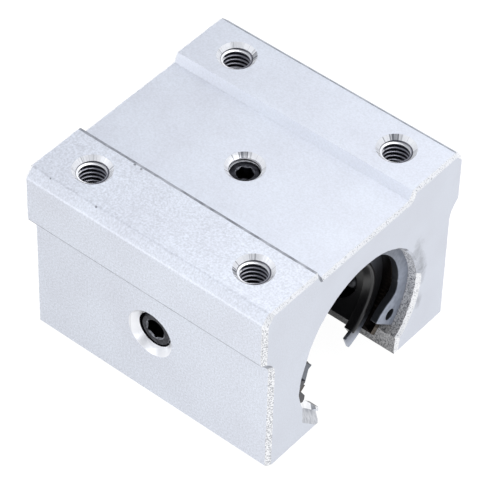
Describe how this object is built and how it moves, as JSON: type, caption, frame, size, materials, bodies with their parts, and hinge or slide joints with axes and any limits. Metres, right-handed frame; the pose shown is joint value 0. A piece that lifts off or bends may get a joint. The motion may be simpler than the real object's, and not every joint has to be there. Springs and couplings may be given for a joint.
{
  "type": "linear bearing block",
  "caption": "Open linear ball bearing block: slotted aluminium housing with a ball bush, for a round shaft held from below by a rail.",
  "frame": {"origin": "on the shaft axis, at the middle of the block's length", "axes": "+X along the shaft towards the front end face, +Z from the shaft axis towards the mounting face, +Y across the block away from the side set screw"},
  "size_m": [0.045, 0.045, 0.033],
  "materials": {
    "blasted_aluminium": "bead-blasted and clear anodised",
    "black_oxide_steel": "black oxide",
    "spring_steel": "phosphated spring steel",
    "bearing_steel": "ground and oiled",
    "ball_steel": "polished",
    "cage_plastic": "moulded acetal",
    "seal_rubber": "moulded nitrile rubber"
  },
  "bodies": {
    "block": {"housing": "blasted_aluminium", "front_circlip": "spring_steel", "rear_circlip": "spring_steel", "bush_shell": "bearing_steel", "ball_cage": "cage_plastic", "front_seal": "seal_rubber", "rear_seal": "seal_rubber", "front_end_ring": "spring_steel", "rear_end_ring": "spring_steel", "loaded_balls_1": "ball_steel", "loaded_balls_2": "ball_steel", "loaded_balls_3": "ball_steel", "loaded_balls_4": "ball_steel", "return_balls_1": "ball_steel", "return_balls_2": "ball_steel", "return_balls_3": "ball_steel", "return_balls_4": "ball_steel"},
    "top_screw": {"top_set_screw": "black_oxide_steel"},
    "side_screw": {"side_set_screw": "black_oxide_steel"}
  },
  "joints": [
    {"name": "top_screw_turn", "type": "hinge", "parent": "block", "child": "top_screw", "pos_m": [0, 0, 0.015], "axis": [0, 0, 1], "range_deg": [0, 585]},
    {"name": "side_screw_turn", "type": "hinge", "parent": "block", "child": "side_screw", "pos_m": [0, -0.016, 0], "axis": [0, -1, 0], "range_deg": [0, 396]}
  ]
}
